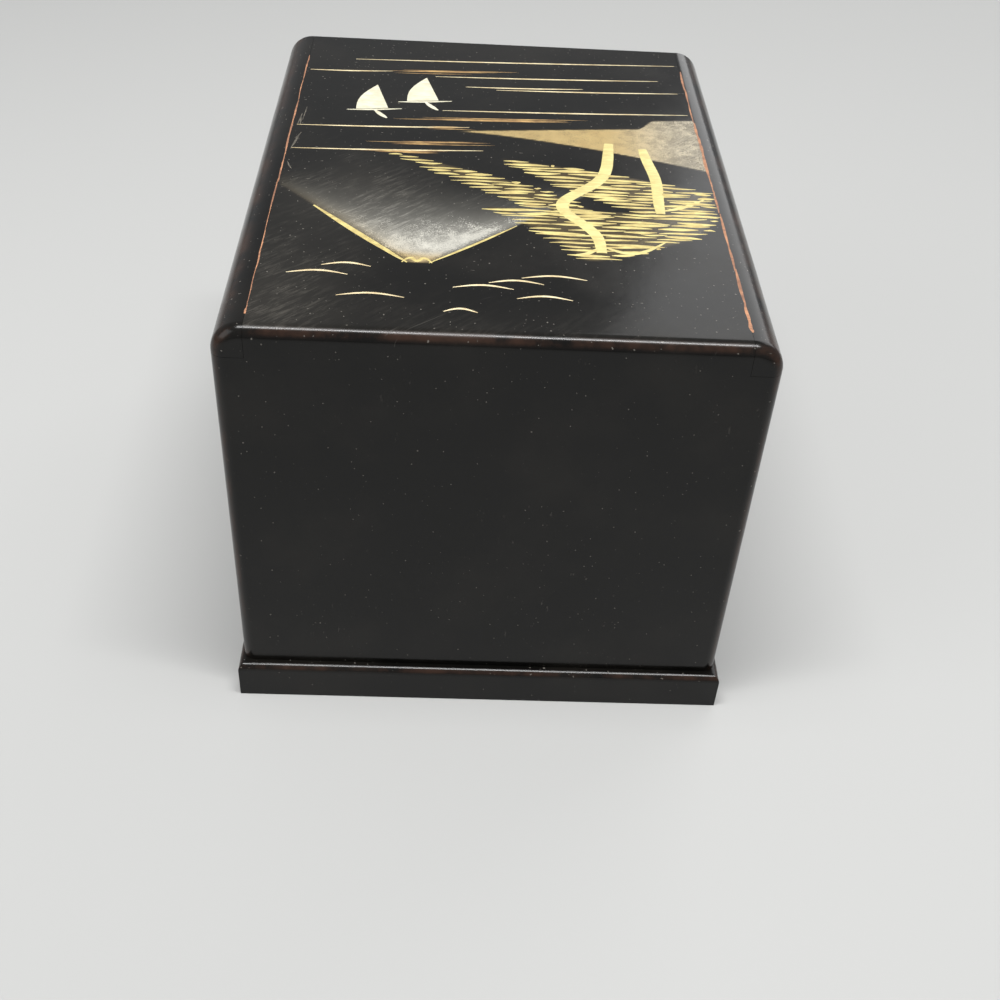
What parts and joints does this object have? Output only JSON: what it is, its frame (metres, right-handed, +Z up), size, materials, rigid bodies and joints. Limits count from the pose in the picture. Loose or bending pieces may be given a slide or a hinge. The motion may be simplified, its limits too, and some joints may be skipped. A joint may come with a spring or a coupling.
{
  "type": "two-drawer box",
  "caption": "Small lacquered wooden box on a plinth, with stacked drawers that slide out of its front and a hanging ring pull on each.",
  "frame": {"origin": "on the surface that the box stands on, under the middle of its overall extents", "axes": "+Z up, the drawers open towards -Y, +X is on the right of someone who faces the drawers"},
  "size_m": [0.102, 0.1358, 0.0917],
  "materials": {
    "black_lacquer": "gloss black lacquer over wood",
    "red_lacquer": "satin red-brown lacquer over wood",
    "brass": "aged brass"
  },
  "bodies": {
    "case": {"left_side": "black_lacquer", "right_side": "black_lacquer", "top_board": "black_lacquer", "back_board": "black_lacquer", "shelf": "black_lacquer", "bottom_board": "black_lacquer", "plinth_front": "black_lacquer", "plinth_right": "black_lacquer", "plinth_back": "black_lacquer", "plinth_left": "black_lacquer"},
    "lower_drawer": {"lower_drawer_front": "black_lacquer", "lower_drawer_side_left": "red_lacquer", "lower_drawer_side_right": "red_lacquer", "lower_drawer_back": "red_lacquer", "lower_drawer_bottom": "red_lacquer", "lower_drawer_rosette": "brass", "lower_drawer_staple": "brass"},
    "upper_drawer": {"upper_drawer_front": "black_lacquer", "upper_drawer_side_left": "red_lacquer", "upper_drawer_side_right": "red_lacquer", "upper_drawer_back": "red_lacquer", "upper_drawer_bottom": "red_lacquer", "upper_drawer_rosette": "brass", "upper_drawer_staple": "brass"},
    "lower_ring": {"lower_drawer_ring": "brass"},
    "upper_ring": {"upper_drawer_ring": "brass"}
  },
  "joints": [
    {"name": "lower_drawer_slide", "type": "slide", "parent": "case", "child": "lower_drawer", "axis": [0, -1, 0], "range_m": [0, 0.105]},
    {"name": "upper_drawer_slide", "type": "slide", "parent": "case", "child": "upper_drawer", "axis": [0, -1, 0], "range_m": [0, 0.105]},
    {"name": "lower_ring_swing", "type": "hinge", "parent": "lower_drawer", "child": "lower_ring", "pos_m": [0, -0.0654, 0.03375], "axis": [-1, 0, 0], "range_deg": [-8, 170]},
    {"name": "upper_ring_swing", "type": "hinge", "parent": "upper_drawer", "child": "upper_ring", "pos_m": [0, -0.0654, 0.07225], "axis": [-1, 0, 0], "range_deg": [-8, 170]}
  ]
}
